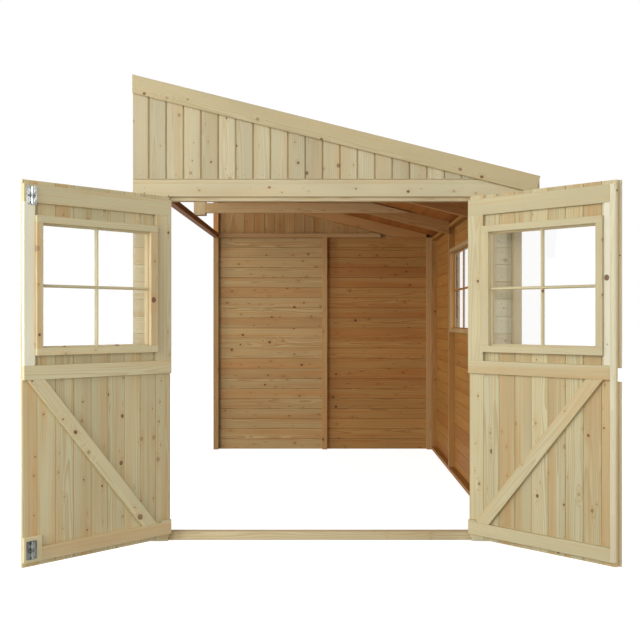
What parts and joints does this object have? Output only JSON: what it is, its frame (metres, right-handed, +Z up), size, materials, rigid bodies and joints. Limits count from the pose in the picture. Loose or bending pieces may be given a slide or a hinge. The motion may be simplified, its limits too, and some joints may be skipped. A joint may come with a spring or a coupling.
{
  "type": "lean-to wooden garden shed",
  "caption": "Lean-to garden shed of planed boards on a light frame, open on its house side, with two glazed outward doors and a side window.",
  "frame": {"origin": "on the ground, in the middle of the front wall, on the underside of the front sill", "axes": "+X across the front towards the boarded side wall, +Y into the shed, +Z up"},
  "size_m": [2.7325, 3.7547, 2.4246],
  "materials": {
    "outer_boards": "planed",
    "wall_boards": "planed",
    "trim_timber": "planed",
    "frame_timber": "planed",
    "roof_timber": "planed",
    "roof_boards": "planed",
    "treated_rail": "planed, stained brown",
    "door_boards": "planed",
    "door_timber": "planed",
    "zinc_fittings": "zinc plated",
    "clear_pane": "clear, flat"
  },
  "bodies": {
    "shed": {"front_sill": "frame_timber", "front_posts": "frame_timber", "front_left_boards": "outer_boards", "front_right_boards": "outer_boards", "corner_trims": "trim_timber", "header_beam": "frame_timber", "header_board": "trim_timber", "front_gable_boards": "outer_boards", "front_barge_board": "trim_timber", "gable_rails": "frame_timber", "back_studs": "frame_timber", "back_left_boards": "wall_boards", "back_right_boards": "wall_boards", "back_gable_boards": "wall_boards", "back_barge_board": "trim_timber", "side_wall_front_boards": "wall_boards", "side_wall_window_boards": "wall_boards", "side_wall_back_boards": "wall_boards", "side_wall_studs": "frame_timber", "side_wall_rails": "frame_timber", "side_window_frame": "frame_timber", "side_window_pane": "clear_pane", "house_side_rail": "treated_rail", "house_side_posts": "frame_timber", "high_ledger": "roof_timber", "rafters": "roof_timber", "tie_beam": "roof_timber", "hanger_post": "frame_timber", "roof_boards": "roof_boards", "eave_fascia": "trim_timber", "left_hinge_plates": "zinc_fittings", "right_hinge_plates": "zinc_fittings"},
    "left_door": {"left_door_boards": "door_boards", "left_door_rails": "door_timber", "left_door_stiles": "door_timber", "left_door_brace": "door_timber", "left_door_surround": "door_timber", "left_door_pane": "clear_pane", "left_door_straps": "zinc_fittings", "left_door_bolts": "zinc_fittings"},
    "right_door": {"right_door_boards": "door_boards", "right_door_rails": "door_timber", "right_door_stiles": "door_timber", "right_door_brace": "door_timber", "right_door_surround": "door_timber", "right_door_pane": "clear_pane", "right_door_straps": "zinc_fittings", "right_door_edge_strip": "door_timber", "right_door_cover_strips": "trim_timber"}
  },
  "joints": [
    {"name": "left_door_hinge", "type": "hinge", "parent": "shed", "child": "left_door", "pos_m": [-0.828, -0.0515, 0.9], "axis": [0, 0, -1], "range_deg": [-136, 29]},
    {"name": "right_door_hinge", "type": "hinge", "parent": "shed", "child": "right_door", "pos_m": [0.752, -0.0515, 0.9], "axis": [0, 0, 1], "range_deg": [-137, 28]}
  ]
}
